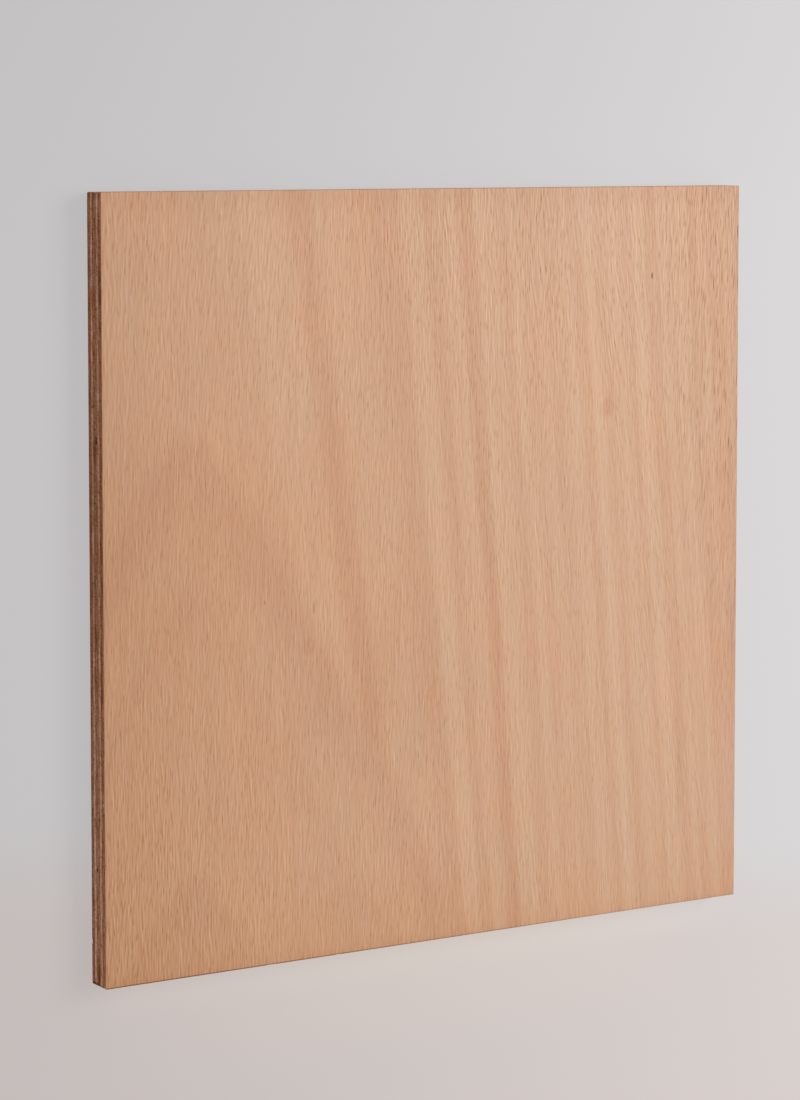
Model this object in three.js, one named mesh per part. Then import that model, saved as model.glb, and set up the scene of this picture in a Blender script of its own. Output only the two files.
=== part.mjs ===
// A square panel of seven-ply hardwood plywood, sawn to size and sanded. Millimetres, +Z up.
//
// The panel lies flat. The back veneer's underside is at z = 0 and the good face looks up. The
// origin is the middle of the underside. The grain of the face runs along Y, and from ply to ply
// the grain turns through a right angle, so the layup is balanced about the core:
//
//   face veneer      along Y
//   crossband        along X
//   long band        along Y
//   core ply         along X, laid in two strips that don't quite meet
//   long band        along Y
//   crossband        along X
//   back veneer      along Y
//
// Each veneer is a sheet of its own, and neighbours meet face to face on a shared glue line.
import * as THREE from 'three';

// The panel in plan.
const PANEL_WIDTH = 400; // across the grain of the face, along X
const PANEL_LENGTH = 400; // along the grain of the face, along Y
const CORNER_RADIUS = 0.6; // sawn corners, a little rubbed

// The thickness of each kind of veneer after pressing and sanding.
const OUTER_VENEER = 0.5; // face and back
const CROSSBAND = 2.6;
const LONG_BAND = 2.5;
const CORE_PLY = 3.8;

// The long edges of the outer veneers are eased with sandpaper.
const ARRIS_RADIUS = 0.3;

// The core ply is laid in two strips, and their edges leave an open core gap across the panel.
const CORE_GAP = 3.5;
const CORE_GAP_FROM_TOP = 121.8; // from the panel's +Y edge to the near side of the gap

// How finely the two small rounds are divided.
const CORNER_SEGMENTS = 2;
const ARRIS_SEGMENTS = 3;

// Wood colours: a sanded face, the long grain seen on a sawn edge, and the end grain, which is
// darker because its open cells drink light and dust.
const SANDED_FACE = { color: 0xcca182, roughness: 0.62 };
const EDGE_OF_LONG_PLY = { color: 0xb28762, roughness: 0.78 };
const EDGE_OF_CROSS_PLY = { color: 0x8a6044, roughness: 0.88 };

const TOP_EDGE = PANEL_LENGTH / 2;
const BOTTOM_EDGE = -PANEL_LENGTH / 2;
const GAP_TOP = TOP_EDGE - CORE_GAP_FROM_TOP;
const GAP_BOTTOM = GAP_TOP - CORE_GAP;

// The veneers from the bottom up. A ply is one sheet, or strips that lie side by side.
const LAYUP = [
  { name: 'back_veneer', thickness: OUTER_VENEER, eased: 'below', finish: SANDED_FACE },
  { name: 'lower_crossband', thickness: CROSSBAND, finish: EDGE_OF_CROSS_PLY },
  { name: 'lower_long_band', thickness: LONG_BAND, finish: EDGE_OF_LONG_PLY },
  {
    thickness: CORE_PLY,
    finish: EDGE_OF_CROSS_PLY,
    strips: [
      { name: 'core_strip_wide', from: BOTTOM_EDGE, to: GAP_BOTTOM },
      { name: 'core_strip_narrow', from: GAP_TOP, to: TOP_EDGE },
    ],
  },
  { name: 'upper_long_band', thickness: LONG_BAND, finish: EDGE_OF_LONG_PLY },
  { name: 'upper_crossband', thickness: CROSSBAND, finish: EDGE_OF_CROSS_PLY },
  { name: 'face_veneer', thickness: OUTER_VENEER, eased: 'above', finish: SANDED_FACE },
];

// The plan outline of a sheet or strip of veneer that reaches from one line across the panel to
// another. Corners of the panel are rounded, and corners beside a core gap are square.
function planOutline(fromY, toY) {
  const side = PANEL_WIDTH / 2;
  const corners = [
    { x: side, y: toY, rounded: toY === TOP_EDGE, quarter: 0 },
    { x: -side, y: toY, rounded: toY === TOP_EDGE, quarter: 1 },
    { x: -side, y: fromY, rounded: fromY === BOTTOM_EDGE, quarter: 2 },
    { x: side, y: fromY, rounded: fromY === BOTTOM_EDGE, quarter: 3 },
  ];
  const outline = new THREE.Shape();
  outline.moveTo(side, (fromY + toY) / 2);
  for (const { x, y, rounded, quarter } of corners) {
    if (rounded) {
      const centreX = x - Math.sign(x) * CORNER_RADIUS;
      const centreY = y - Math.sign(y) * CORNER_RADIUS;
      const start = (quarter * Math.PI) / 2;
      outline.absarc(centreX, centreY, CORNER_RADIUS, start, start + Math.PI / 2, false);
    } else {
      outline.lineTo(x, y);
    }
  }
  outline.closePath();
  return outline;
}

// The rings that a ply's outline is swept through, from its lower glue line to its upper one.
// Where an arris is eased, the last rings are drawn in round a quarter circle.
function sweepRings(low, high, eased) {
  const rings = [];
  for (let i = 0; i <= ARRIS_SEGMENTS; i += 1) {
    const turn = (i / ARRIS_SEGMENTS) * (Math.PI / 2);
    const inset = ARRIS_RADIUS * (1 - Math.cos(turn));
    const short = ARRIS_RADIUS * (1 - Math.sin(turn));
    rings.push({ inset, short });
  }
  if (eased === 'above') {
    return [{ height: low, inset: 0 }].concat(
      rings.map(({ inset, short }) => ({ height: high - short, inset })),
    );
  }
  if (eased === 'below') {
    return rings
      .reverse()
      .map(({ inset, short }) => ({ height: low + short, inset }))
      .concat({ height: high, inset: 0 });
  }
  return [{ height: low, inset: 0 }, { height: high, inset: 0 }];
}

// Sweeps an outline up through its rings. The extrusion has one step for each ring, and every
// point is then put at its ring's height, so that neighbouring plies share their glue line.
function sweptVeneer(outline, rings) {
  const steps = rings.length - 1;
  const geometry = new THREE.ExtrudeGeometry(outline, {
    depth: steps,
    steps,
    bevelEnabled: false,
    curveSegments: CORNER_SEGMENTS,
  });
  const points = geometry.attributes.position;
  for (let i = 0; i < points.count; i += 1) {
    const { height, inset } = rings[Math.round(points.getZ(i))];
    const drawnX = 1 - inset / (PANEL_WIDTH / 2);
    const drawnY = 1 - inset / (PANEL_LENGTH / 2);
    points.setXYZ(i, points.getX(i) * drawnX, points.getY(i) * drawnY, height);
  }
  geometry.computeVertexNormals();
  return geometry;
}

function veneerMesh(name, geometry, finish) {
  const material = new THREE.MeshStandardMaterial({ ...finish, metalness: 0 });
  const mesh = new THREE.Mesh(geometry, material);
  mesh.name = name;
  return mesh;
}

// One ply as a group: a full sheet, or its strips side by side.
function plyGroup(ply, low, high) {
  const group = new THREE.Group();
  const rings = sweepRings(low, high, ply.eased);
  const strips = ply.strips ?? [{ name: ply.name, from: BOTTOM_EDGE, to: TOP_EDGE }];
  for (const { name, from, to } of strips) {
    group.add(veneerMesh(name, sweptVeneer(planOutline(from, to), rings), ply.finish));
  }
  return group;
}

const plywoodSheet = new THREE.Group();
let glueLine = 0;
for (const ply of LAYUP) {
  const nextGlueLine = glueLine + ply.thickness;
  plywoodSheet.add(plyGroup(ply, glueLine, nextGlueLine));
  glueLine = nextGlueLine;
}

export default plywoodSheet;
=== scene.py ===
# %% [markdown]
# # A plywood sheet, from bare frame to finished wood
#
# This lesson dresses a small panel of hardwood plywood that lies flat on a studio floor. The
# frame holds the true solids: seven veneers, one of them laid in two strips. The steps below
# give them the looks of real wood: sawn and slightly torn edges, dark glue lines between the
# plies, and the quiet figure and fine pores of a sanded face.
#
# The first cell loads the frame and keeps its box, as nothing made here may reach outside it.

# %% Load the frame
import math
import random

import bpy
import bmesh
import numpy
from mathutils import Matrix, Vector


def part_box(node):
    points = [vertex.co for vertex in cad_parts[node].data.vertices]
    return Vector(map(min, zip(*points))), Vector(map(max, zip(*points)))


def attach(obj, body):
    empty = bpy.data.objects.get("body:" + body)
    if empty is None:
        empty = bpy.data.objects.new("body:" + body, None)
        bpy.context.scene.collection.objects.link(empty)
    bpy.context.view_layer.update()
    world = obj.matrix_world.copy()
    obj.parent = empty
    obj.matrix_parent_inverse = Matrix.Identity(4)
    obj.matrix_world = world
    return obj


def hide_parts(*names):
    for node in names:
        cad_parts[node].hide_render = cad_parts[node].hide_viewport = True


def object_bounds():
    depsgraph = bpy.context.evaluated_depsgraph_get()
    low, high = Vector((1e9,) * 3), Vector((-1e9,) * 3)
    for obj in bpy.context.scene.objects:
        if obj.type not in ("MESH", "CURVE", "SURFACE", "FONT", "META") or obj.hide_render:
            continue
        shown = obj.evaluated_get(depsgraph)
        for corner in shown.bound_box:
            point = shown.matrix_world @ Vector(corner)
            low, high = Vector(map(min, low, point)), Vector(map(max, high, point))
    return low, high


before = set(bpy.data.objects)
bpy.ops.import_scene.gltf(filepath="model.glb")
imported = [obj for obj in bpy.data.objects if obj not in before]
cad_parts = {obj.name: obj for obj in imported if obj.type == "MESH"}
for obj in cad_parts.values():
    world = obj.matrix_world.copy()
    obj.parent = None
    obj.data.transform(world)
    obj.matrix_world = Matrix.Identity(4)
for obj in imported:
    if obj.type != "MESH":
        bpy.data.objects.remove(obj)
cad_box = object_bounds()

MM = 0.001
panel_size = cad_box[1] - cad_box[0]
PANEL_WIDTH, PANEL_LENGTH, PANEL_THICKNESS = panel_size
print("panel, mm:", [round(side / MM, 2) for side in panel_size])

# %% [markdown]
# ## The camera
#
# A sample board is pictured with a long lens, from in front of its good face and well to the
# left, so that the left sawn edge shows as a narrow strip. This board lies down, so the camera
# looks down on it. A little lens shift keeps its upright lines nearly parallel, and the rest
# of the framing comes from turning the camera towards a point.

# %% The camera
CAMERA_PLACE = Vector((-0.9883, 0.2288, 1.5127))
CAMERA_AIM = Vector((-0.0245, 0.0919, PANEL_THICKNESS))
LENS_MM = 111.7
LENS_SHIFT = -0.14


def aimed(name, data, place, aim):
    """Makes an object of a camera or a lamp, at a place and aimed at a point."""
    ahead = (aim - place).normalized()
    right = ahead.cross(Vector((0, 1, 0))).normalized()
    above = right.cross(ahead)
    made = bpy.data.objects.new(name, data)
    made.location = place
    made.rotation_euler = Matrix((right, above, -ahead)).transposed().to_euler()
    bpy.context.scene.collection.objects.link(made)
    return made


camera_data = bpy.data.cameras.new("studio_camera")
camera_data.lens = LENS_MM
camera_data.sensor_width = 36
camera_data.shift_y = LENS_SHIFT
camera = aimed("studio_camera", camera_data, CAMERA_PLACE, CAMERA_AIM)
bpy.context.scene.camera = camera
bpy.context.scene.view_settings.view_transform = "Standard"
print("camera distance, m:", round((CAMERA_AIM - CAMERA_PLACE).length, 3))

# %% [markdown]
# ## The light
#
# A pale, even room alone would make the wood look flat, so a large soft lamp is added off the
# board's right edge. It makes the face brighter towards the right and leaves the left edge in
# shade. Together they come to about the level at which a colour renders as it is written.

# %% The light
ROOM_LEVEL = 0.56
LAMP_PLACE = Vector((1.25, 0.45, 1.35))
LAMP_SIDE = 1.1
LAMP_WATTS = 31

world = bpy.data.worlds.new("pale_room")
world.use_nodes = True
room = world.node_tree.nodes["Background"]
room.inputs["Color"].default_value = (1, 1, 1, 1)
room.inputs["Strength"].default_value = ROOM_LEVEL
bpy.context.scene.world = world

lamp_data = bpy.data.lights.new("soft_lamp", "AREA")
lamp_data.shape = "SQUARE"
lamp_data.size = LAMP_SIDE
lamp_data.energy = LAMP_WATTS
aimed("soft_lamp", lamp_data, LAMP_PLACE, Vector((0, 0, 0)))

# %% [markdown]
# ## Shader maths as plain sums
#
# A finish is worked out from many small values, such as how far along the grain a point is.
# Each sum is a Math node in the node editor. Here a small class wraps a socket, and Python's
# own operators add those nodes, so that a recipe reads like a formula.

# %% Shader maths as plain sums
def operator(operation):
    """One of Python's operators, as a Math node."""
    return lambda amount, other: amount.maths(operation, other)


class Amount:
    """A value that changes over a surface. Sums with it add nodes to its finish."""

    def __init__(self, finish, socket):
        self.finish = finish
        self.socket = socket

    def maths(self, operation, *others, kind="Math"):
        """A Math node of any operation on this value and up to two others."""
        inputs = dict(enumerate((self, *others)))
        return self.finish.node(kind, {"operation": operation}, inputs)

    def other(self, name):
        """Another output of the same node."""
        return Amount(self.finish, self.socket.node.outputs[name])

    def __rsub__(self, other):
        return self.finish.node("Math", {"operation": "SUBTRACT"}, {0: other, 1: self})

    def __abs__(self):
        return self.maths("ABSOLUTE")

    __add__ = __radd__ = operator("ADD")
    __mul__ = __rmul__ = operator("MULTIPLY")
    __sub__ = operator("SUBTRACT")
    __truediv__ = operator("DIVIDE")


# %% [markdown]
# ## A finish and its nodes
#
# Every material here is a finish: it starts empty, and any node in it comes from one method
# that takes the node's type, its settings and its sockets. A finish knows where a point is on
# the board, in millimetres: across the face, along its grain, and up from the back. It reads
# Object coordinates, so that the pattern stays on the wood when the board is moved.

# %% A finish and its nodes
def set_points(curve_node, points):
    """Gives a float curve its points: a list of (in, out), both from 0 to 1."""
    curve = curve_node.mapping.curves[0]
    curve.points[0].location = points[0]
    curve.points[-1].location = points[-1]
    for place in points[1:-1]:
        curve.points.new(*place)
    curve_node.mapping.update()


class Finish:
    """A material with its nodes, and the method that adds one."""

    def __init__(self, name):
        self.material = bpy.data.materials.new(name)
        self.material.use_nodes = True
        self.nodes = self.material.node_tree.nodes
        self.links = self.material.node_tree.links
        self.nodes.clear()
        place = self.node("TexCoord", output="Object")
        in_mm = self.node("VectorMath", {"operation": "SCALE"}, {0: place, "Scale": 1 / MM})
        self.across = self.node("SeparateXYZ", {}, {0: in_mm}, "X")
        self.along = self.across.other("Y")
        self.up = self.across.other("Z")

    def node(self, kind, settings=None, inputs=None, output=0):
        """Adds a node, its kind being its type without ShaderNode, and returns an output."""
        made = self.nodes.new("ShaderNode" + kind)
        for name, value in (settings or {}).items():
            if name == "points":
                set_points(made, value)
            else:
                setattr(made, name, value)
        for name, value in (inputs or {}).items():
            if isinstance(value, Amount):
                self.links.new(value.socket, made.inputs[name])
            else:
                made.inputs[name].default_value = value
        return Amount(self, made.outputs[output]) if made.outputs else made

    def finish_off(self, surface):
        """Joins a shader to the material's output and returns the material."""
        self.node("OutputMaterial", {}, {"Surface": surface})
        return self.material


# %% [markdown]
# ## The building blocks of a wood finish
#
# Wood is made of long thin cells, so nearly every mark on it is a noise that is drawn out
# along the grain. One helper makes such a noise, centred on nought, from its size across and
# along the grain in millimetres. Others fade smoothly from 0 to 1, blend two amounts or two
# colours, and lay marks on a colour. A mark is an amount with a depth, which is the share of
# red, green and blue that it adds at full strength. The last is a curve of tone drawn through
# listed points, for what noise can't give: the order of a board's own bands.

# %% The building blocks of a wood finish
STAGGER = 0.41  # keeps the rows of a noise's lattice from lining up across the grain


def grain_noise(place, sizes, detail=1.0, roughness=0.5):
    """Noise from -1 to 1. The place is two or three amounts, with a size for each."""
    finish = place[0].finish
    scaled = {i: where / size for i, (where, size) in enumerate(zip(place, sizes))}
    scaled[1] = scaled[1] + scaled[0] * STAGGER
    vector = finish.node("CombineXYZ", {}, scaled)
    inputs = {"Vector": vector, "Scale": 1.0, "Detail": detail, "Roughness": roughness}
    dimensions = {"noise_dimensions": f"{len(place)}D"}
    return finish.node("TexNoise", dimensions, inputs) * 2 - 1


def fade(value, start, end):
    """0 at start and 1 at end, with a soft ease between."""
    inputs = {"Value": value, "From Min": start, "From Max": end}
    ease = {"interpolation_type": "SMOOTHSTEP"}
    return value.finish.node("MapRange", ease, inputs)


def between(share, first, second):
    """The first amount where the share is 0 and the second where it is 1."""
    return first + (second - first) * share


def blended(factor, first, second):
    """The same for two colours."""
    inputs = {0: factor, 6: first, 7: second}
    return factor.finish.node("Mix", {"data_type": "RGBA"}, inputs, 2)


def marked(colour, marks):
    """Multiplies the colour by 1 + amount x depth for each mark."""
    for amount, depth in marks:
        amounts = colour.finish.node("CombineXYZ", {}, {0: amount, 1: amount, 2: amount})
        change = amounts.maths("MULTIPLY_ADD", depth, (1, 1, 1), kind="VectorMath")
        colour = colour.maths("MULTIPLY", change, kind="VectorMath")
    return colour


def tone_curve(value, low, high, points):
    """Tones listed over a value from low to high. A tone of 0 to 1 becomes -1 to 1."""
    inputs = {"Value": (value - low) / (high - low)}
    placed = [((where - low) / (high - low), tone) for where, tone in points]
    return value.finish.node("FloatCurve", {"points": placed}, inputs) * 2 - 1


# %% [markdown]
# ## The floor's paint
#
# A studio floor is one pale, matt sheet that only has to take the board's soft shadow. It is
# brighter on the lamp's side, a little darker far behind the board, and warmer in front of it,
# most of all close by, where light bounced from the wood is painted onto it. The places of those
# zones are in millimetres from the board's middle. The camera and mirror-like surfaces see part
# of that colour as light of the floor's own, because a shadow stays that soft only in a large
# room. That glow is painted brighter towards the lamp. From below the floor is clear.

# %% The floor's paint
FLOOR_COLOUR = (0.545, 0.53, 0.535, 1)
FLOOR_PALE = (0.565, 0.55, 0.55, 1)
FLOOR_MOTTLE = (900, 900, 900)  # mm
FLOOR_ROUGHNESS = 0.9
# The glow is painted light, darker on the left and brighter on the lamp's side.
GLOW_COLOURS = ((0.543, 0.530, 0.540, 1), (0.735, 0.722, 0.732, 1))
GLOW_SHARE = 0.80  # how much of the floor's look is its own light
FAR_DEPTH = (0.035, 0.035, 0.04)
NEAR_DEPTH = (0.0, 0.065, 0.105)
# Painted light bounced from the wood onto the floor in front of the board, in a wide zone and a
# close one.
PAINTED_BOUNCE_DEPTH = (0.05, 0.035, 0.005)
PAINTED_CLOSE_BOUNCE_DEPTH = (0.055, 0.05, 0.04)


def floor_zones(finish):
    """The zones of the floor, as marks."""
    x, y = finish.across, finish.along
    below = 1 - fade(y, -200, -190)
    # Painted bounce light in front of the board: a wide zone and a close one.
    painted_bounce = fade(y, -275, -222) * (1 - fade(abs(x), 60, 230))
    painted_close_bounce = fade(y, -228, -206) * (1 - fade(abs(x), 170, 212))
    return [
        (0 - fade(y, 130, 330), FAR_DEPTH),
        (fade(y + x * 0.14, -205, -135) - 1, NEAR_DEPTH),
        (painted_bounce * below, PAINTED_BOUNCE_DEPTH),
        (painted_close_bounce * below, PAINTED_CLOSE_BOUNCE_DEPTH),
    ]


def floor_paint():
    """Matt paint with a share of its own light, clear from below."""
    finish = Finish("pale_floor")
    place = (finish.across, finish.along, finish.up)
    zones = floor_zones(finish)
    mottle = grain_noise(place, FLOOR_MOTTLE) * 0.5 + 0.5
    colour = marked(blended(mottle, FLOOR_COLOUR, FLOOR_PALE), zones)
    # Painted light: the glow grows brighter towards the lamp's side.
    glow_colour = marked(blended(fade(finish.across, -450, 550), *GLOW_COLOURS), zones)
    looks = {"Base Color": colour, "Roughness": FLOOR_ROUGHNESS}
    paint = finish.node("BsdfPrincipled", {}, looks)
    glow = finish.node("Emission", {}, {"Color": glow_colour})
    ray = finish.node("LightPath", output="Is Camera Ray")
    mirrored = ray.other("Is Glossy Ray").maths("MAXIMUM", ray.other("Is Transmission Ray"))
    seen = ray.maths("MAXIMUM", mirrored) * GLOW_SHARE
    pale = finish.node("MixShader", {}, {0: seen, 1: paint, 2: glow})
    clear = finish.node("BsdfTransparent")
    from_below = finish.node("NewGeometry", output="Backfacing")
    inputs = {0: from_below, 1: pale, 2: clear}
    return finish.finish_off(finish.node("MixShader", {}, inputs))


# %% [markdown]
# ## The floor
#
# The floor is a wide frame with an opening hidden under the board, so that light reaches the
# back and it can be looked at from below. One square outline, a hair smaller than the board,
# is drawn outwards to make the frame. That can leave its faces looking down, so they are
# checked and turned.

# %% The floor
FLOOR_SIDE = 24.0
OPENING_SHARE = 0.999  # of the board's own size

bpy.ops.object.select_all(action="DESELECT")
bpy.ops.mesh.primitive_plane_add(size=PANEL_WIDTH * OPENING_SHARE, location=(0, 0, 0))
floor = bpy.context.object
floor.name = "studio_floor"
bpy.ops.object.mode_set(mode="EDIT")
bpy.ops.mesh.delete(type="ONLY_FACE")
bpy.ops.mesh.select_all(action="SELECT")
bpy.ops.mesh.extrude_region_move()
widen = FLOOR_SIDE / (PANEL_WIDTH * OPENING_SHARE)
bpy.ops.transform.resize(value=(widen, widen, 1))
bpy.ops.mesh.select_all(action="SELECT")
bpy.ops.mesh.normals_make_consistent(inside=False)
if any(face.normal.z < 0 for face in bmesh.from_edit_mesh(floor.data).faces):
    bpy.ops.mesh.flip_normals()
bpy.ops.object.mode_set(mode="OBJECT")
print("floor faces up:", all(face.normal.z > 0.9 for face in floor.data.polygons))
floor.data.materials.append(floor_paint())

# %% [markdown]
# ## The figure of a veneer
#
# The outer veneers are rotary-cut: the log is turned against a knife and the veneer peels off,
# so the growth rings come out as long, soft bands, and as nested arches where the knife runs
# along a ring. The bands lean and fan out on their way down. Each is a line of constant age of
# the tree, so the pattern is made in two steps: an amount that stays the same along a band,
# and a listed curve of tone over it. The arches, with a rounded tip and straight limbs,
# are made in the same way. A slow noise makes them all wander, as no tree is round.

# %% The figure of a veneer
HALF_WIDTH = PANEL_WIDTH / 2 / MM
HALF_LENGTH = PANEL_LENGTH / 2 / MM
WANDER = (70, 150)  # mm across and along the grain, of the noise that bends every band
BAND_STRAY = 2  # mm that it moves a band
ARCH_STRAY = 16  # mm that it moves an arch
ARCH_TIP = 14.0  # mm, half the width of an arch's rounded tip
BAND_SPAN = (-210, 210)  # mm across the grain, over which the bands are drawn
ARCH_SPAN = (-20, 280)  # mm inwards from the outermost arch, over which they are drawn
ARCH_BORDER = (-18, 14)  # the same, over which the bands give way to the arches


def down_the_board(finish):
    """0 at the board's top edge and 1 at its bottom edge."""
    return (HALF_LENGTH - finish.along) / (2 * HALF_LENGTH)


def fanned(x, run_down, fan):
    """Follows a band back up to the board's top edge."""
    sideways, spread = fan
    return (x - run_down * sideways) / (1 - run_down * spread)


def figure_of_veneer(finish, figure):
    """The band amount in mm, and the tones of the bands and of the arches."""
    x, y = finish.across, finish.along
    wander = grain_noise((x + figure["seed"], y), WANDER, detail=2)
    run_down = down_the_board(finish)
    left_band = fanned(x, run_down, figure["left_fan"])
    right_band = fanned(x, run_down, figure["right_fan"])
    band = left_band.maths("MINIMUM", right_band) + wander * BAND_STRAY
    bands = tone_curve(band, *BAND_SPAN, figure["bands"])
    arch_x, arch_y = figure["arch_top"]
    off_centre = (x - arch_x) / ARCH_TIP
    limb = (off_centre * off_centre + 1).maths("SQRT") - 1
    depth = arch_y - limb * (ARCH_TIP * figure["arch_slope"]) - y + wander * ARCH_STRAY
    arches = tone_curve(depth, *ARCH_SPAN, figure["arches"])
    inside = fade(depth, *ARCH_BORDER)
    return band, bands * (1 - inside), arches * inside


# %% [markdown]
# ## The pores
#
# Where the knife opens a vessel of the wood, it leaves a pore: a dark groove a few tenths of
# a millimetre wide and some millimetres long. A Voronoi texture scatters points, one in each
# cell, and the distance from the nearest, measured in a space squeezed along the grain, gives
# each point a slender dash. The cell's own random colour, raised to a power, decides how dark
# its dash is, so that most stay faint and a few stand out.

# %% The pores
def pore_dashes(across, along, cell, breadth, faintness):
    """Dashes from 0 to 1. A cell is (across, along) in mm, the breadth a share of it."""
    finish = across.finish
    scaled = finish.node("CombineXYZ", {}, {0: across / cell[0], 1: along / cell[1]})
    inputs = {"Vector": scaled, "Scale": 1.0}
    distance = finish.node("TexVoronoi", {"voronoi_dimensions": "2D"}, inputs)
    chance = finish.node("SeparateColor", {}, {0: distance.other("Color")})
    return (1 - fade(distance / breadth, 0.35, 1.0)) * chance.maths("POWER", faintness)


# %% [markdown]
# ## The broad marks
#
# Under the fine marks lie broad ones: the figure, thin stripes from year to year, a mottle,
# patches of another hue, and a slow drift of colour. All but the figure are noises, each of
# its own size and read at its own offset, so that no two agree. A dark mark in this wood is
# mostly a redder one, so it takes less from the red than from the blue.

# %% The broad marks
# The size of a mark in mm, across and along the grain
STRIPE = (2.2, 360)
LONG_MOTTLE = (7, 60)
SHORT_MOTTLE = (6.5, 13)
DRIFT = (60, 90)
HUE_PATCH = (12, 34)

BAND_DEPTH = (0.050, 0.102, 0.128)
ARCH_DEPTH = (0.045, 0.085, 0.085)
MOTTLE_DEPTH = (0.010, 0.032, 0.052)
DRIFT_DEPTH = (0.03, 0.0, -0.03)
HUE_DEPTH = (-0.012, 0.0, 0.045)


def broad_marks(finish, figure, x, rightwards):
    """The mottle by itself, and the broad marks."""
    y = finish.along
    band, bands, arches = figure_of_veneer(finish, figure)
    stripes = grain_noise((band, y), STRIPE, roughness=0.6)
    long_mottle = grain_noise((x, y), LONG_MOTTLE, detail=2)
    short_mottle = grain_noise((x + 200, y), SHORT_MOTTLE)
    mottle = long_mottle * (1.3 * rightwards) + short_mottle * between(rightwards, 1.3, 0.3)
    drift = grain_noise((x + 700, y), DRIFT)
    hue = grain_noise((x + 400, y), HUE_PATCH)
    amounts = (bands + stripes * between(rightwards, 0.15, 0.95), arches, mottle, drift, hue)
    depths = (BAND_DEPTH, ARCH_DEPTH, MOTTLE_DEPTH, DRIFT_DEPTH, HUE_DEPTH)
    return mottle, list(zip(amounts, depths))


# %% [markdown]
# ## The marks along the grain
#
# Fibres lie side by side, and each is drawn as painted shade in its hollow next to a painted
# highlight on its wall, over the fibre's own tone: their noise has the same noise taken from it
# one fibre further on. What is left is even, crisp and free of blotches. With them go
# hairlines, dark streaks, and fine and open pores. The fibres lean a little differently from
# place to place. In one strip they lean much more, and there the marks are made a second time
# on a steeper slant, because bending one noise that far would smear it.

# %% The marks along the grain
# The size of a mark in mm, across and along the grain, and for a pore that of its cell
LONG_FIBRE = (0.45, 18)
SHORT_FIBRE = (0.52, 9)
HAIRLINE = (0.6, 70)
STREAK = (2.6, 50)
FINE_PORE = (1.2, 13.0)
OPEN_PORE = (1.4, 26.0)

FIBRE_PITCH = 1.0  # mm from a fibre to the next
FIBRE_TURN = 60.0  # mm that a fibre moves aside over the board's length, for a lean of 1
SLANT = 39.0  # the same, where the fibres lean most


# Each fibre mark pairs painted shade in a hollow with a painted highlight on the wall beside it.
def fibres_and_painted_shade(across, along, size, detail=1.0):
    """A noise less the same noise one fibre aside."""
    here = grain_noise((across, along), size, detail)
    return here - grain_noise((across + FIBRE_PITCH, along), size, detail)


def grain_marks(across, along):
    """Fibres, hairlines, dark streaks, fine pores and open pores."""
    long_fibres = fibres_and_painted_shade(across, along, LONG_FIBRE)
    short_fibres = fibres_and_painted_shade(across + 40, along, SHORT_FIBRE, detail=0)
    hairlines = grain_noise((across + 160, along), HAIRLINE, detail=0)
    streaks = grain_noise((across + 90, along), STREAK)
    fine_pores = pore_dashes(across, along, FINE_PORE, breadth=0.22, faintness=1)
    open_pores = pore_dashes(across + 500, along, OPEN_PORE, breadth=0.21, faintness=2)
    fibres = 0.28 * long_fibres + 0.40 * short_fibres
    return fibres, hairlines, fade(streaks, 0.1, 0.6), fine_pores, open_pores


def leaning_marks(finish, figure, x, run_down):
    """The same marks on fibres that lean as the figure says."""
    rise = finish.along / (2 * HALF_LENGTH)
    lean, bend = (
        tone_curve(finish.across, -HALF_WIDTH, HALF_WIDTH, figure[name])
        for name in ("fibre_lean", "fibre_bend")
    )
    upright = grain_marks(x + (lean + bend * rise) * rise * FIBRE_TURN, finish.along)
    slanted = grain_marks(x + rise * SLANT, finish.along)
    begin, full, until, end = figure["slant"]
    strip = finish.across - run_down * figure["slant_shift"]
    slant = fade(strip, begin, full) * (1 - fade(strip, until, end))
    return (between(slant, one, other) for one, other in zip(upright, slanted))


# %% [markdown]
# ## The borders of a face
#
# The wood is more orange along the bottom from handling, with a thin line of painted contact
# shadow on the arris that it has stood on. It is a little darker along the top and the right
# border, and has painted shade towards the left side, away from the lamp. The arris next to the
# camera is paler, partly rubbed and partly a painted highlight. All of these fade over
# distances in millimetres.

# %% The borders of a face
HANDLED_DEPTH = (0.012, 0.05, 0.115)
TOP_RIM_DEPTH = (0.045, 0.070, 0.085)
# Painted shade towards the left side, away from the lamp.
PAINTED_LEFT_SHADE_DEPTH = (0.09, 0.13, 0.18)
RIGHT_RIM_DEPTH = (0.07, 0.1, 0.11)
FOOT_DEPTH = (0.01, 0.04, 0.05)
# A thin painted contact shadow on the bottom arris.
PAINTED_CONTACT_SHADOW_DEPTH = (0.4, 0.52, 0.55)
# A rubbed arris with a painted highlight.
ARRIS_PALENESS_AND_HIGHLIGHT = (0.22, 0.18, 0.14)


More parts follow.
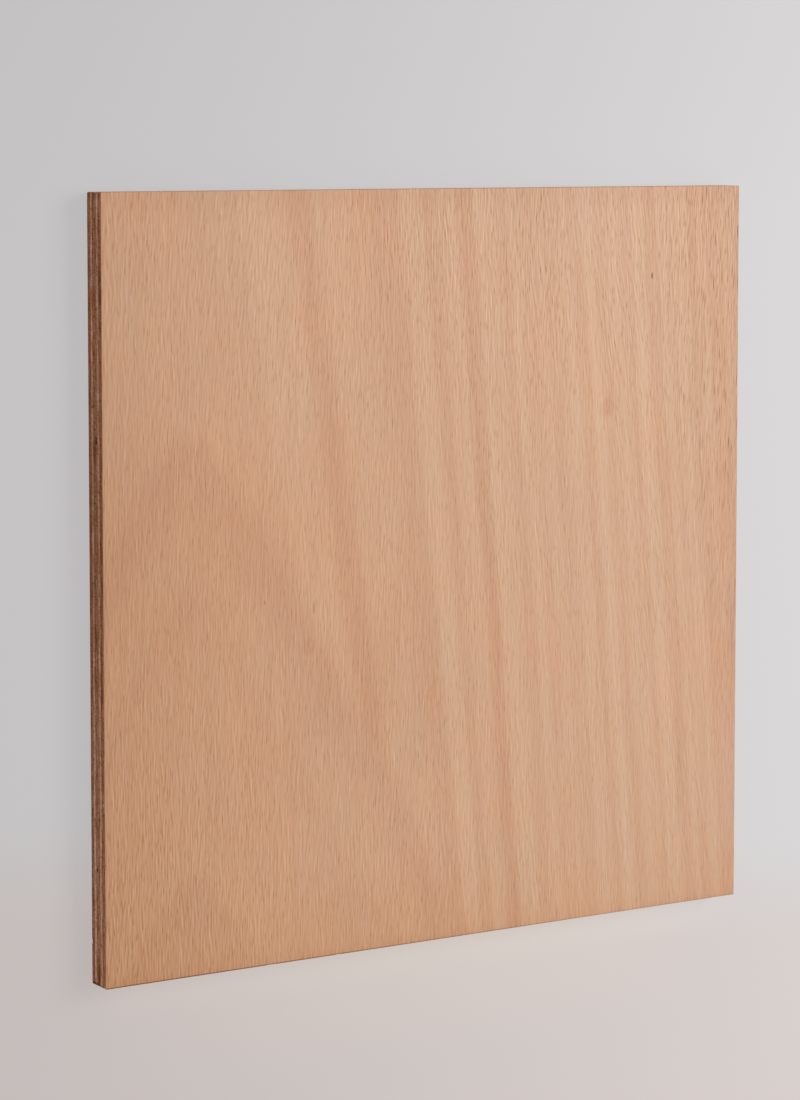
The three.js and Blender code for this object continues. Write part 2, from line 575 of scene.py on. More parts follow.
def border_marks(finish, ragged, rightwards, run_down):
    """The marks of the borders."""
    x, y = finish.across, finish.along
    handled = 1 - fade(HALF_LENGTH + y + ragged * 14, 0, 50)
    top_rim = 1 - fade(HALF_LENGTH - y + ragged * 5, 0, 16)
    # Painted shade towards the left, stronger lower down.
    painted_left_shade = (1 - fade(x, -250, -90)) * (0.35 + run_down)
    right_rim = fade(x, HALF_WIDTH - 8, HALF_WIDTH + 1)
    foot = fade(0 - y, HALF_LENGTH - 9, HALF_LENGTH - 2)
    # Painted contact shadow along the bottom arris, strongest on the left.
    painted_contact_shadow = fade(0 - y, HALF_LENGTH - 1.0, HALF_LENGTH - 0.3)
    # The left arris: rubbed pale, and a painted highlight.
    pale_arris_and_highlight = fade(0 - x, HALF_WIDTH - 0.5, HALF_WIDTH - 0.1)
    return [
        (0 - handled, HANDLED_DEPTH),
        (0 - top_rim, TOP_RIM_DEPTH),
        (0 - painted_left_shade, PAINTED_LEFT_SHADE_DEPTH),
        (0 - right_rim, RIGHT_RIM_DEPTH),
        (0 - foot, FOOT_DEPTH),
        (0 - painted_contact_shadow * between(rightwards, 1.4, 0.3), PAINTED_CONTACT_SHADOW_DEPTH),
        (pale_arris_and_highlight, ARRIS_PALENESS_AND_HIGHLIGHT),
    ]


# %% [markdown]
# ## The finish of the outer veneers
#
# Now the marks are laid on the wood, whose colour goes from browner on the left to paler on
# the right, partly its own drift and partly painted shade and light, darker away from the lamp
# and lighter towards it. The fibres are plain in the middle, stronger near the top and at the
# lower left. Open pores gather in clusters at the upper right. They are also a little bump and
# make the wood rougher. Last come the few marks with a place of their own: soft spots, small
# dark specks and wide washes.

# %% The finish of the outer veneers
# From browner on the left to paler on the right: the wood's own drift and painted light.
LEFT_WOOD_AND_SHADE = (0.532, 0.291, 0.167, 1)
RIGHT_WOOD_AND_LIGHT = (0.537, 0.318, 0.200, 1)
# The fibres' own tone, with painted shade and highlight beside each other.
FIBRE_AND_SHADE_DEPTH = (0.25, 0.335, 0.41)
LINE_DEPTH = (0.12, 0.15, 0.18)
STREAK_DEPTH = (0.025, 0.038, 0.048)
PORE_DEPTH = (0.36, 0.48, 0.58)
OPEN_WOOD_DEPTH = (0.06, 0.08, 0.095)
WARMTH_DEPTH = (0.0, -0.012, -0.045)
SPOT_DEPTH = (0.12, 0.24, 0.38)
SPECK_DEPTH = (0.36, 0.52, 0.66)
WASH_DEPTH = (0.02, 0.05, 0.07)
PATCH = (35, 60)  # mm across and along, of a place where the fibres are stronger
CLUSTER = (8, 45)  # the same, of a cluster of open pores
PORE_BUMP = {"Strength": 0.3, "Distance": 0.06 * MM}
SANDED_ROUGHNESS = 0.62
SANDED_GLOSS = 0.35


def spot(finish, place, size):
    """1 at a place on the face and 0 beyond its half sizes, all in mm."""
    off_x = (finish.across - place[0]) / size[0]
    off_y = (finish.along - place[1]) / size[1]
    return 1 - fade(off_x * off_x + off_y * off_y, 0.1, 1.0)


def strengths(finish, x, rightwards, run_down):
    """The strengths of the fibres, the hairlines, the open wood and its pores."""
    y = finish.along
    patches = grain_noise((x + 300, y), PATCH) * 0.5 + 0.5
    clusters = grain_noise((x + 600, y), CLUSTER, detail=0) * 0.5 + 0.5
    right_side = fade(finish.across, 120, 190)
    leftmost = 1 - fade(finish.across, -200, -60)
    higher = fade(y + patches * 60, -150, 210)
    top = fade(y, 40, 190) * between(fade(finish.across, -130, 0), 0.12, 0.62)
    low = fade(run_down, 0.4, 1.0) * (0.12 + 0.5 * leftmost - 0.22 * rightwards)
    fineness = 0.72 + 0.5 * patches + top + low
    openness = right_side * higher
    open_wood = right_side * between(higher, 0.4, 1)
    return fineness, openness, open_wood, openness * between(clusters, 0.8, 2.4)


def sanded_veneer(name, figure):
    """The finish of a face: the colour of its wood with every mark laid on."""
    finish = Finish(name)
    x = finish.across + figure["seed"]
    rightwards = fade(finish.across, -170, 170)
    run_down = down_the_board(finish)
    mottle, marks = broad_marks(finish, figure, x, rightwards)
    grain = leaning_marks(finish, figure, x, run_down)
    fibres, hairlines, streaks, fine_pores, open_pores = grain
    fineness, openness, open_wood, pore_share = strengths(finish, x, rightwards, run_down)
    pores = fine_pores * (fineness * 0.65) + open_pores * (0.1 + pore_share)
    warmth = fade(run_down, 0.1, 0.6) * between(rightwards, 1, 0.2)
    marks += border_marks(finish, mottle, rightwards, run_down)
    marks += [
        (0 - open_wood, OPEN_WOOD_DEPTH),
        (warmth, WARMTH_DEPTH),
        (fibres * fineness, FIBRE_AND_SHADE_DEPTH),
        (hairlines * (between(rightwards, 0.8, 0.4) + 0.6 * openness), LINE_DEPTH),
        (0 - streaks * between(rightwards, 0.3, 2.0), STREAK_DEPTH),
        (0 - pores, PORE_DEPTH),
    ]
    for kind, depth in (("spots", SPOT_DEPTH), ("specks", SPECK_DEPTH), ("washes", WASH_DEPTH)):
        for place, size, strength in figure[kind]:
            marks.append((spot(finish, place, size) * -strength, depth))
    looks = {
        "Base Color": marked(blended(rightwards, LEFT_WOOD_AND_SHADE, RIGHT_WOOD_AND_LIGHT), marks),
        "Roughness": SANDED_ROUGHNESS + 0.15 * pores,
        "Specular IOR Level": SANDED_GLOSS,
        "Normal": finish.node("Bump", {}, PORE_BUMP | {"Height": 0 - open_pores}),
    }
    return finish.finish_off(finish.node("BsdfPrincipled", {}, looks))


# %% [markdown]
# ## The wood of the sawn edges
#
# A veneer whose grain runs along an edge shows long pale streaks there. One whose grain runs
# into the edge shows its end grain, which is darker, redder and speckled. One recipe serves
# both, because the noise is solid and is drawn out along the veneer's own grain: the edges cut
# through it as the saw does. Two tones are listed, from 0 to 1 with 0.5 for no change.
# One runs along the edges. The other runs over the thickness, because a peeled veneer has a
# tight pale side and a loose darker one that drinks the glue.

# %% The wood of the sawn edges
END_RED = (0.378, 0.146, 0.071, 1)
END_BROWN = (0.340, 0.162, 0.085, 1)
LONG_RED = (0.585, 0.290, 0.172, 1)
LONG_BROWN = (0.558, 0.310, 0.190, 1)
FIBRE_END = (12, 0.5, 0.3)  # mm along the grain, across it and through the thickness

CHECK_DEPTH = (0.22, 0.27, 0.3)
CHECK_TONES = [  # over the height in mm
    (0, 0.5), (1.6, 0.55), (2.8, 0.62), (3.5, 0.7), (4.4, 0.5), (5.5, 0.36), (6.6, 0.52),
    (8.6, 0.56), (9.6, 0.74), (10.6, 0.5), (11.5, 0.26), (12.4, 0.44), (13.4, 0.52), (15, 0.6),
]
LENGTH_DEPTH = (0.18, 0.27, 0.36)
LENGTH_TONES = [  # over x + y in mm, which runs along each edge
    (-400, 0.95), (-367, 0.92), (-300, 0.82), (-233, 0.45), (-167, 0.3), (-100, 0.5), (0, 0.5),
    (90, 0.64), (200, 0.4), (310, 0.56), (400, 0.45),
]


def end_grain_of(finish, grain_along):
    """1 where an edge cuts across the ply's grain and 0 where it runs along it."""
    aside, ahead = abs(finish.across) / HALF_WIDTH, abs(finish.along) / HALF_LENGTH
    on_side_edges = fade(aside - ahead, -0.002, 0.002)
    return 1 - on_side_edges if grain_along else on_side_edges


def plain_edge(finish, end_grain, along_edge, log_tone):
    """The colour of an edge before the saw, browner or redder by patches."""
    redness = grain_noise((along_edge, finish.up), (26, 2.4), detail=2)
    redness = fade(redness, -0.35, 0.35)
    long_wood = blended(redness, LONG_BROWN, LONG_RED)
    end_wood = blended(redness, END_BROWN, END_RED)
    wood = blended(end_grain, long_wood, end_wood)
    return wood.maths("MULTIPLY", log_tone, kind="VectorMath")


# %% [markdown]
# ## The finish of the sawn edges
#
# Over the wood lie the saw's fine strokes across the thickness, thin layers that run on for a
# hand's breadth, darker patches, and dark flecks of end grain. Then come the glue, the stains
# with some painted shade among them, and the torn fibres, which the mesh stores as three
# attributes. The finish makes their outlines ragged with its own noise, since glue and dirt
# creep along fibres.

# %% The finish of the sawn edges
GLUE_BROWN = (0.12, 0.05, 0.024, 1)
# The brown of stains, end-grain flecks and painted shade.
STAIN_AND_SHADE_BROWN = (0.165, 0.050, 0.014, 1)
TORN_PALE = (0.6, 0.37, 0.22, 1)
FIBRE_END_DEPTH = (0.3, 0.43, 0.58)
STROKE_DEPTH = (0.66, 0.96, 1.25)
PATCH_DEPTH = (0.37, 0.6, 0.86)
LAYER_DEPTH = (0.18, 0.25, 0.32)
SAWN_BUMP = {"Strength": 0.5, "Distance": 0.1 * MM}
SAWN_ROUGHNESS = 0.82
SAWN_GLOSS = 0.08


def stored(finish, name):
    """An attribute that the ply's mesh carries."""
    return finish.node("Attribute", {"attribute_name": name}, {}, "Fac")


def glued_and_torn(finish, colour, along_edge, end_grain, ragged):
    """Lays flecks, glue, stains with some painted shade, and torn fibres over a colour."""
    soaked = grain_noise((along_edge + 300, finish.up), (5, 4))
    flecks = grain_noise((along_edge + 200, finish.up), (2.6, 0.6))
    fleck = fade(flecks, 0.22, 0.5) * end_grain
    # Stains, and a few marks of painted shade.
    stain = fade(stored(finish, "stain") + ragged, 0.12, 0.5)
    torn = fade(stored(finish, "pale") + ragged, 0.35, 0.7)
    colour = blended(fleck * 0.45, colour, STAIN_AND_SHADE_BROWN)
    colour = blended(stored(finish, "glue") * (0.78 + 0.6 * soaked), colour, GLUE_BROWN)
    colour = blended(stain * 0.9, colour, STAIN_AND_SHADE_BROWN)
    return blended(torn, colour, TORN_PALE)


def sawn_ply(name, grain_along, seed, log_tone):
    """The finish of a ply's edges. grain_along is True where its grain runs along Y."""
    finish = Finish(name)
    x, y, z = finish.across, finish.along, finish.up
    end_grain = end_grain_of(finish, grain_along)
    along_edge = x + y + seed
    along, across, through = FIBRE_END
    size = (across, along, through) if grain_along else (along, across, through)
    fibres = grain_noise((x + seed, y, z), size, detail=2, roughness=0.6)
    patch = grain_noise((along_edge + 900, z), (12, 1.2), detail=2, roughness=0.6)
    layers = grain_noise((along_edge + 1500, z), (130, 0.75))
    fine_strokes = grain_noise((along_edge, z), (0.8, 2.6))
    broad_strokes = grain_noise((along_edge + 60, z), (2.4, 2.2))
    strokes = fine_strokes * 0.6 + broad_strokes * 0.6
    marks = [
        (fibres, FIBRE_END_DEPTH),
        (strokes, STROKE_DEPTH),
        (patch * 1.8, PATCH_DEPTH),
        (tone_curve(x + y, -400, 400, LENGTH_TONES), LENGTH_DEPTH),
        (tone_curve(z, 0, PANEL_THICKNESS / MM, CHECK_TONES), CHECK_DEPTH),
        (layers, LAYER_DEPTH),
    ]
    colour = marked(plain_edge(finish, end_grain, along_edge, log_tone), marks)
    ragged = strokes * 0.7 + fibres * 0.4
    height = fibres * 0.6 + strokes
    looks = {
        "Base Color": glued_and_torn(finish, colour, along_edge, end_grain, ragged),
        "Roughness": SAWN_ROUGHNESS + 0.08 * end_grain,
        "Specular IOR Level": SAWN_GLOSS,
        "Normal": finish.node("Bump", {}, SAWN_BUMP | {"Height": height}),
    }
    return finish.finish_off(finish.node("BsdfPrincipled", {}, looks))


# %% [markdown]
# ## A veneer as a sheet
#
# Every ply starts as a flat grid, a little smaller than its size. Its rim is drawn outwards to
# make a narrow border, which can be divided more finely than the middle needs, and the board's
# corners are beveled, once the border's diagonal is out of the way. What to work on is picked
# by a test on each point or edge, as a hand would pick it with a click.

# %% A veneer as a sheet
CORNER_RADIUS = 0.6 * MM
CORNER_SEGMENTS = 3
GRID_CELLS = 32
BORDER = 3.0 * MM
AT_CORNER = 0.1 * MM  # how near a corner counts


def choose(piece, kind, wanted):
    """In edit mode, selects only the verts or edges that pass a test."""
    bpy.ops.mesh.select_mode(type={"verts": "VERT", "edges": "EDGE"}[kind])
    bpy.ops.mesh.select_all(action="DESELECT")
    shape = bmesh.from_edit_mesh(piece.data)
    for item in getattr(shape, kind):
        if wanted(item):
            item.select_set(True)
    shape.select_flush_mode()
    bmesh.update_edit_mesh(piece.data)


def at_panel_corner(vertex):
    """Whether a vertex is at one of the board's own four corners."""
    beside = abs(abs(vertex.co.x) - PANEL_WIDTH / 2) < AT_CORNER
    above = abs(abs(vertex.co.y) - PANEL_LENGTH / 2) < AT_CORNER
    return beside and above


def lay_sheet(name, low, high):
    """Lays a bordered grid over the given box's floor and leaves it in edit mode."""
    bpy.ops.object.select_all(action="DESELECT")
    size, middle = high - low, (low + high) / 2
    floor_middle = (middle.x, middle.y, low.z)
    bpy.ops.mesh.primitive_grid_add(
        x_subdivisions=GRID_CELLS, y_subdivisions=GRID_CELLS, size=1, location=floor_middle
    )
    sheet = bpy.context.object
    sheet.name = sheet.data.name = name
    sheet.scale = (size.x - 2 * BORDER, size.y - 2 * BORDER, 1)
    bpy.ops.object.transform_apply(location=True, rotation=True, scale=True)
    bpy.ops.object.mode_set(mode="EDIT")
    choose(sheet, "edges", lambda e: e.is_boundary)
    bpy.ops.mesh.extrude_region_move()
    widen = (size.x / (size.x - 2 * BORDER), size.y / (size.y - 2 * BORDER), 1)
    bpy.ops.transform.resize(value=widen, center_override=floor_middle)
    choose(sheet, "edges", lambda e: not e.is_boundary and any(map(at_panel_corner, e.verts)))
    bpy.ops.mesh.dissolve_edges(use_verts=False)
    choose(sheet, "verts", at_panel_corner)
    bpy.ops.mesh.bevel(offset=CORNER_RADIUS, segments=CORNER_SEGMENTS, affect="VERTICES")
    return sheet


# %% [markdown]
# ## From sheet to ply
#
# The outline is divided finely, along one axis and then along the other, and drawn through the
# thickness in rings. Each ring may also be drawn in a little, to ease an arris. A copy of the
# first sheet, drawn in as the last ring is, closes the other face. A closed shape with its
# faces inside out has a negative volume, and that tells whether to turn them.

# %% From sheet to ply
SAME_HEIGHT = 0.01 * MM  # within which two heights count as one
MERGE_DISTANCE = 0.02 * MM


def run_of(edge, axis):
    """How far an edge runs along an axis."""
    return abs(edge.verts[0].co[axis] - edge.verts[1].co[axis])


def divide_outline(sheet, pitch):
    """Divides the outline down to the pitch, first along X and then along Y."""
    longest = max(PANEL_WIDTH, PANEL_LENGTH) / GRID_CELLS
    cuts = math.ceil(longest / pitch) - 1
    for axis in (0, 1):
        choose(sheet, "edges", lambda e: e.is_boundary and run_of(e, axis) > 2 * pitch)
        bpy.ops.mesh.subdivide(number_cuts=cuts)


def draw_in(amount):
    """Draws what is selected in towards the middle of the board."""
    shrink = (1 - amount / (PANEL_WIDTH / 2), 1 - amount / (PANEL_LENGTH / 2), 1)
    bpy.ops.transform.resize(value=shrink, center_override=(0, 0, 0))


def raise_sheet(sheet, start, rings):
    """Draws the outline through rings, each a (rise, inward) step, and closes it."""
    bpy.ops.mesh.select_all(action="SELECT")
    rise = sum(ring[0] for ring in rings)
    bpy.ops.mesh.duplicate_move(TRANSFORM_OT_translate={"value": (0, 0, rise)})
    draw_in(sum(ring[1] for ring in rings))
    choose(sheet, "edges", lambda e: e.is_boundary and abs(e.verts[0].co.z - start) < SAME_HEIGHT)
    for rise, inward in rings:
        bpy.ops.mesh.extrude_region_move(TRANSFORM_OT_translate={"value": (0, 0, rise)})
        draw_in(inward)
    bpy.ops.mesh.select_all(action="SELECT")
    bpy.ops.mesh.remove_doubles(threshold=MERGE_DISTANCE)
    bpy.ops.mesh.normals_make_consistent(inside=False)
    if bmesh.from_edit_mesh(sheet.data).calc_volume(signed=True) < 0:
        bpy.ops.mesh.flip_normals()


def ply_sheet(name, low, high, rings, pitch):
    """A closed ply, raised from the low corner's height."""
    sheet = lay_sheet(name, low, high)
    divide_outline(sheet, pitch)
    raise_sheet(sheet, low.z, rings)
    bpy.ops.object.mode_set(mode="OBJECT")
    return sheet


# %% [markdown]
# ## Chips, stains and painted shade
#
# The chips, stains and torn fibres along the edges are a list, and a few of its dark marks are
# painted shade. The left edge has its own, and the others get theirs by chance from a fixed
# seed, so that they come out the same every time. A ply's points are handled as one array, and
# its stains, painted shade and torn fibres are stored on them.

# %% Chips, stains and painted shade
# Place along and up the left edge, reach along and up, all in mm, and then three shares: how
# deep the chip is, how dark its stains or painted shade, and how pale the torn fibres.
LEFT_WEAR = [
    (148.2, 13.3, 7.5, 2.0, 0.1, 0.62, 0), (158, 12.9, 5.0, 1.6, 0, 0.5, 0),
    (-140.5, 5.9, 1.2, 1.0, 1.0, 1.2, 0), (-112, 13.4, 3.2, 1.4, 0.6, 0, 0.4),
    (-106.5, 13.0, 1.8, 0.8, 0.5, 0, 0.9), (-169.5, 15, 1.3, 1.3, 0.7, 0, 0),
    (-178, 1.0, 2.0, 1.4, 0.6, 0.2, 0), (31, 1.4, 2.4, 1.2, 0.4, 0.3, 0),
    (71, 6.4, 7.0, 2.0, 0, 0.5, 0), (-52, 12.6, 7.0, 1.2, 0.2, 0.55, 0),
    (20, 12.8, 10.0, 1.1, 0, 0.5, 0), (-24, 6.6, 8.0, 1.2, 0, 0.5, 0),
    (198.5, 5.0, 3.6, 7.0, 0.2, 0.28, 0), (199, 12.5, 3.2, 4.0, 0.2, 0.25, 0),
    # Painted shade: the mark at -200, 4.0 darkens the plies' ends at the bottom corner, and the
    # one at -196, 7.4 a gap between plies.
    (-200, 4.0, 2.2, 8.0, 0.2, 0.9, 0), (-196, 7.4, 14.0, 1.3, 0.2, 0.7, 0),
]
CHANCE_MARKS = 24
CHANCE_SEED = 27
CHANCE_HEIGHTS = (0.4, 1.8, 2.6, 7.4, 12.6, 13.6, 14.9)

wear = [((-200, mark[0], mark[1]), *mark[2:]) for mark in LEFT_WEAR]
chooser = random.Random(CHANCE_SEED)
for number in range(CHANCE_MARKS):
    along_side = chooser.uniform(-190, 190)
    side = ((200, along_side), (along_side, 200), (along_side, -200))[number % 3]
    height = chooser.choice(CHANCE_HEIGHTS)
    reach, depth = chooser.uniform(1.0, 2.6), chooser.uniform(0.2, 0.8)
    stain, pale = chooser.uniform(0.0, 0.8), chooser.uniform(-1.0, 1.0)
    wear.append(((*side, height), reach * 2, reach, depth, stain, pale))
print("chips and stains:", len(wear))


def places_of(sheet):
    """The places of a sheet's points, in mm, one row each."""
    return numpy.array([vertex.co for vertex in sheet.data.vertices]) / MM


def worn(sheet, which):
    """The depth (0), darkness of stains and painted shade (1) or paleness (2) at each point."""
    places = places_of(sheet)
    amounts = numpy.zeros(len(places))
    for centre, along, up, *shares in wear:
        off = places - centre
        off_along = numpy.hypot(off[:, 0], off[:, 1]) / along
        nearness = 1 - off_along**2 - (off[:, 2] / up) ** 2
        amounts = numpy.maximum(amounts, nearness.clip(0) * shares[which])
    return amounts


def mark_wear(sheet):
    """Stores how stained or darkened by painted shade, and how pale, each point of a ply is."""
    for which, name in ((1, "stain"), (2, "pale")):
        marks = sheet.data.attributes.new(name, "FLOAT", "POINT")
        marks.data.foreach_set("value", worn(sheet, which))


# %% [markdown]
# ## The wear of the saw
#
# A saw never leaves a true surface: it tears fibres out of the end grain and leaves the long
# grain smoother, and the press has already made the glue lines a little wavy. Displace
# modifiers do this. One moves the glue lines up and down, alike for both plies that meet
# there. One only cuts inwards, so that the board never grows, and one cuts the chips. Weights
# say how much each point of the edges takes part.

# %% The wear of the saw
WAVE_HEIGHT = 0.3 * MM
WAVE_MARGIN = 0.3  # mm from a face, within which nothing waves
WAVE_RISE = 2  # mm over which the waves then reach their full height
TEAR_DEPTH = 0.18 * MM
LONG_GRAIN_SHARE = 0.35  # of the tears on end grain
CHIP_DEPTH = 0.6 * MM
SAWN_SMOOTHING = 50  # degrees, under which two faces are shaded as one surface


def cloud(name, size, depth):
    """A cloud texture whose puffs are about the given size."""
    texture = bpy.data.textures.new(name, "CLOUDS")
    texture.noise_scale = size
    texture.noise_depth = depth
    return texture


press_waves = cloud("press_waves", 24 * MM, 1)
saw_tears = cloud("saw_tears", 1.6 * MM, 2)


def near_sides(places):
    """Which of the points are on the left and right edges, and which on the other two."""
    half_sizes = numpy.array((HALF_WIDTH, HALF_LENGTH))
    return (abs(abs(places[:, :2]) - half_sizes) < 1).T


def displace(sheet, name, texture, strength, weights, middle=0, direction="NORMAL"):
    """Moves the edges with a Displace modifier, each point by its weight."""
    group = sheet.vertex_groups.new(name=name)
    beside, above = near_sides(places_of(sheet))
    for number in numpy.flatnonzero((beside | above) & (weights > 0)):
        group.add([int(number)], weights[number], "REPLACE")
    modifier = sheet.modifiers.new(name, "DISPLACE")
    modifier.texture = texture
    modifier.vertex_group = name
    modifier.strength = strength
    modifier.mid_level = middle
    modifier.direction = direction
    bpy.context.view_layer.objects.active = sheet
    bpy.ops.object.modifier_apply(modifier=name)


def tear_and_chip(sheet, tear_depth, weights, smoothing):
    """Cuts the edges and smooths their shading."""
    displace(sheet, "tears", saw_tears, -tear_depth, weights)
    displace(sheet, "chips", None, -CHIP_DEPTH, worn(sheet, 0))
    bpy.ops.object.shade_smooth_by_angle(angle=math.radians(smoothing))


def wear_ply(sheet, grain_along):
    """Marks, waves and cuts the edges of an inner ply."""
    mark_wear(sheet)
    places = places_of(sheet)
    from_face = numpy.minimum(places[:, 2], PANEL_THICKNESS / MM - places[:, 2])
    waving = ((from_face - WAVE_MARGIN) / WAVE_RISE).clip(0, 1)
    displace(sheet, "waves", press_waves, WAVE_HEIGHT, waving, 0.5, "Z")
    tearing = numpy.where(near_sides(places)[0] == grain_along, LONG_GRAIN_SHARE, 1)
    tear_and_chip(sheet, TEAR_DEPTH, tearing, SAWN_SMOOTHING)


# %% [markdown]
# ## The glue lines
#
# Glue soaks a few tenths of a millimetre into the wood on both sides of a joint and leaves a
# dark line with soft sides. A ply's outermost rings carry the value 1 on the joint and 0 one
# ring further in, and the surface between them fades from one to the other. It is stored for
# each face's own corners, so that the flat faces stay clean.

# %% The glue lines
GLUE_SOAK = 0.35 * MM


def mark_glue(sheet, low, high):
    """Stores how near the glue is on a ply's sawn walls."""
    glue = sheet.data.attributes.new("glue", "FLOAT", "CORNER")
    for face in sheet.data.polygons:
        on_wall = abs(face.normal.z) < 0.5
        for corner in face.loop_indices:
            height = sheet.data.vertices[sheet.data.loops[corner].vertex_index].co.z
            at_rim = any(abs(height - line) < SAME_HEIGHT for line in (low.z, high.z))
            glue.data[corner].value = 1.0 if on_wall and at_rim else 0.0


# %% [markdown]
# ## The inner plies
#
# The inner plies alternate: crossbands and core with their grain across, long bands with it
# along. Each has a tone of its own, as no two parts of a log are alike. It takes its place
# from its own solid in the frame, stands for it, and rides on the board's one body.

# %% The inner plies
OUTLINE_PITCH = 0.8 * MM
CORE_RINGS = 3
CROSS_PLIES = {
    "upper_crossband": (1.0, 0.92, 0.86),
    "core_strip_narrow": (1.08, 1.06, 1.08),
    "core_strip_wide": (1.06, 1.06, 1.1),
    "lower_crossband": (1.0, 1.02, 1.08),
}
LONG_PLIES = {"upper_long_band": (0.96, 0.93, 0.92), "lower_long_band": (1.02, 0.98, 0.99)}


def place_piece(piece, node):
    """Lets a finished piece ride on the board's body in place of its solid."""
    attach(piece, "root")
    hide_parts(node)


for plies, grain_along in ((CROSS_PLIES, False), (LONG_PLIES, True)):
    for number, (node, log_tone) in enumerate(plies.items()):
        low, high = map(Vector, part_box(node))
        core = (high.z - low.z - 2 * GLUE_SOAK) / CORE_RINGS
        rings = [(rise, 0) for rise in (GLUE_SOAK, *[core] * CORE_RINGS, GLUE_SOAK)]
        sheet = ply_sheet(node + "_finished", low, high, rings, OUTLINE_PITCH)
        mark_glue(sheet, low, high)
        wear_ply(sheet, grain_along)
        seed = 37 * number + 11
        wood = sawn_ply(node + "_wood", grain_along, seed, log_tone)
        sheet.data.materials.append(wood)
        place_piece(sheet, node)
        print(sheet.name, len(sheet.data.polygons), "faces")

# %% [markdown]
# ## The figures of the face and the back
#
# Here is what is given for each face. A fan is how far a band moves right on its way
# down, and how much it spreads. A band or an arch is a place in millimetres and a tone from 0
# to 1, with 0.5 for no change. The lean and the bend of the fibres are curves over the width,
# with 0.5 for upright. The slant is the strip where they lean most, by its borders at the top,
# and its shift is how far it moves right on its way down. A spot, a speck or a wash is a
# place, its half sizes and a strength. The back comes from another log.

# %% The figures of the face and the back
FACE_FIGURE = {
    "left_fan": (36.5, 0.33),
    "right_fan": (35.5, 0.025),
    "bands": [
        (-210, 0.5), (-134, 0.48), (-114, 0.78), (-96, 0.46), (-87, 0.12), (-79, 0.52),
        (-70, 0.7), (-48, 0.48), (-33, 0.24), (-27, 0.56), (-21, 0.86), (-12, 0.58), (-5, 0.26),
        (2, 0.74), (9, 0.56), (15.5, 0.0), (19.5, 0.56), (23.5, 0.78), (33, 0.58), (39, 0.36),
        (45, 0.7), (54, 0.3), (60, 0.6), (66, 0.34), (79, 0.68), (86, 0.24), (93, 0.8),
        (102, 0.3), (111, 0.64), (120, 0.34), (126, 0.78), (132, 0.52), (138, 0.2), (143, 0.74),
        (149, 0.4), (154, 0.72), (166, 0.26), (171, 0.62), (177, 0.32), (190, 0.5), (210, 0.4),
    ],
    "arch_top": (-150.0, 75.0),
    "arch_slope": 1.75,
    "arches": [
        (-20, 0.5), (-8, 0.38), (8, 0.06), (26, 0.14), (44, 0.42), (70, 0.52), (88, 0.34),
        (110, 0.46), (150, 0.54), (190, 0.56), (212, 0.72), (230, 0.28), (252, 0.44),
        (280, 0.38),
    ],
    "fibre_lean": [
        (-200, 0.4), (-150, 0.34), (-80, 0.32), (-25, 0.39), (20, 0.51), (90, 0.52), (140, 0.42),
        (200, 0.38),
    ],
    "fibre_bend": [
        (-200, 0.5), (-150, 0.43), (-100, 0.35), (-33, 0.6), (33, 0.55), (90, 0.5), (200, 0.5),
    ],
    "slant": (76, 98, 120, 146),
    "slant_shift": 58,
    "seed": 0.0,
    "spots": [
        ((110, 80), (5.5, 7), 0.5), ((111.5, 86), (2, 5), 0.4), ((-81, -36), (5, 6), 0.35),
    ],
    "specks": [
        ((139.8, 151.2), (0.9, 2.3), 1.3), ((-107, -11), (0.8, 1.3), 0.6),
        ((-77.5, -16), (0.7, 4), 0.7),
    ],
    "washes": [
        ((-122, 135), (85, 110), -1.0), ((-26, -62), (34, 80), 0.8),
        ((198, -25), (26, 130), 1.0), ((-170, 20), (60, 70), 0.6), ((-40, -122), (75, 60), -0.6),
    ],
}
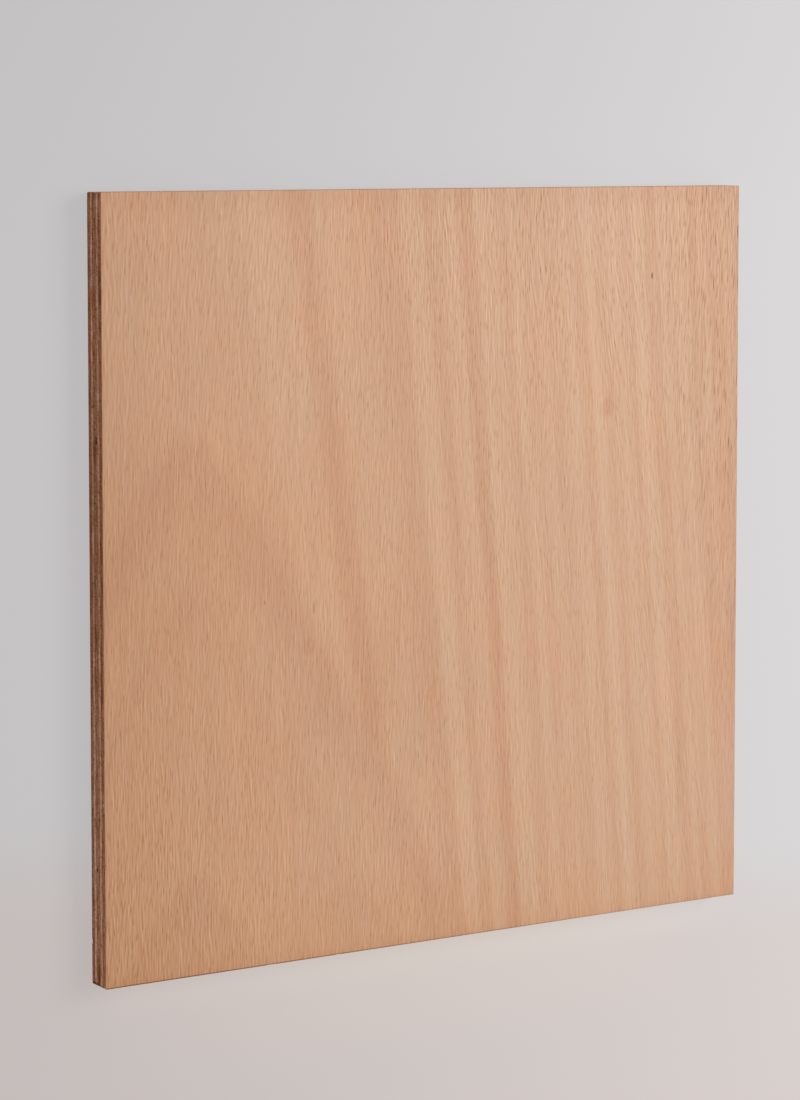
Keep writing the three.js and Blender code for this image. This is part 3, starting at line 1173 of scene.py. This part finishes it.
BACK_FIGURE = {
    "left_fan": (-26.0, 0.02),
    "right_fan": (-20.0, 0.08),
    "bands": [
        (-210, 0.5), (-180, 0.74), (-140, 0.34), (-120, 0.7), (-96, 0.06), (-88, 0.56),
        (-50, 0.4), (-30, 0.8), (0, 0.5), (34, 0.12), (40, 0.6), (80, 0.84), (104, 0.5),
        (130, 0.14), (150, 0.66), (180, 0.4), (210, 0.6),
    ],
    "arch_top": (96.0, -40.0),
    "arch_slope": 2.6,
    "arches": [
        (-20, 0.5), (5, 0.2), (30, 0.66), (60, 0.3), (100, 0.7), (150, 0.5), (280, 0.4),
    ],
    "fibre_lean": [(-200, 0.6), (-90, 0.4), (-10, 0.36), (70, 0.45), (140, 0.62), (200, 0.7)],
    "fibre_bend": [(-200, 0.5), (-40, 0.56), (60, 0.46), (200, 0.5)],
    "slant": (-90, -60, 10, 40),
    "slant_shift": -20,
    "seed": 57.0,
    "spots": [((38, -92), (4, 6), 0.6)],
    "specks": [((-64, 120), (1.2, 3.0), 1.0)],
    "washes": [((90, 60), (90, 120), 0.8)],
}

# %% [markdown]
# ## The face and the back
#
# The outer veneers are thin and sanded. They are built as the plies are, from the glue line
# outwards, and their last rings are drawn in round a quarter circle, which eases the arris.
# The saw tears them less than the plies.

# %% The face and the back
ARRIS_RADIUS = 0.3 * MM
ARRIS_RINGS = 3
FACE_PITCH = 0.4 * MM
SANDED_TEAR_DEPTH = 0.06 * MM
SANDED_SMOOTHING = 40  # degrees


def eased_rings(thickness):
    """A straight wall and then a quarter circle."""
    rings = [(thickness - ARRIS_RADIUS, 0)]
    for i in range(ARRIS_RINGS):
        turn, next_turn = (math.radians(90 * step / ARRIS_RINGS) for step in (i, i + 1))
        rise = math.sin(next_turn) - math.sin(turn)
        inward = math.cos(turn) - math.cos(next_turn)
        rings.append((ARRIS_RADIUS * rise, ARRIS_RADIUS * inward))
    return rings


for node, outwards, figure in (("face_veneer", 1, FACE_FIGURE), ("back_veneer", -1, BACK_FIGURE)):
    low, high = map(Vector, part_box(node))
    rings = [(outwards * rise, inward) for rise, inward in eased_rings(high.z - low.z)]
    start = low.z if outwards > 0 else high.z
    bottom = Vector((low.x, low.y, start))
    sheet = ply_sheet(node + "_finished", bottom, high, rings, FACE_PITCH)
    everywhere = numpy.ones(len(sheet.data.vertices))
    tear_and_chip(sheet, SANDED_TEAR_DEPTH, everywhere, SANDED_SMOOTHING)
    sheet.data.materials.append(sanded_veneer(node + "_wood", figure))
    place_piece(sheet, node)
    print(sheet.name, len(sheet.data.polygons), "faces")
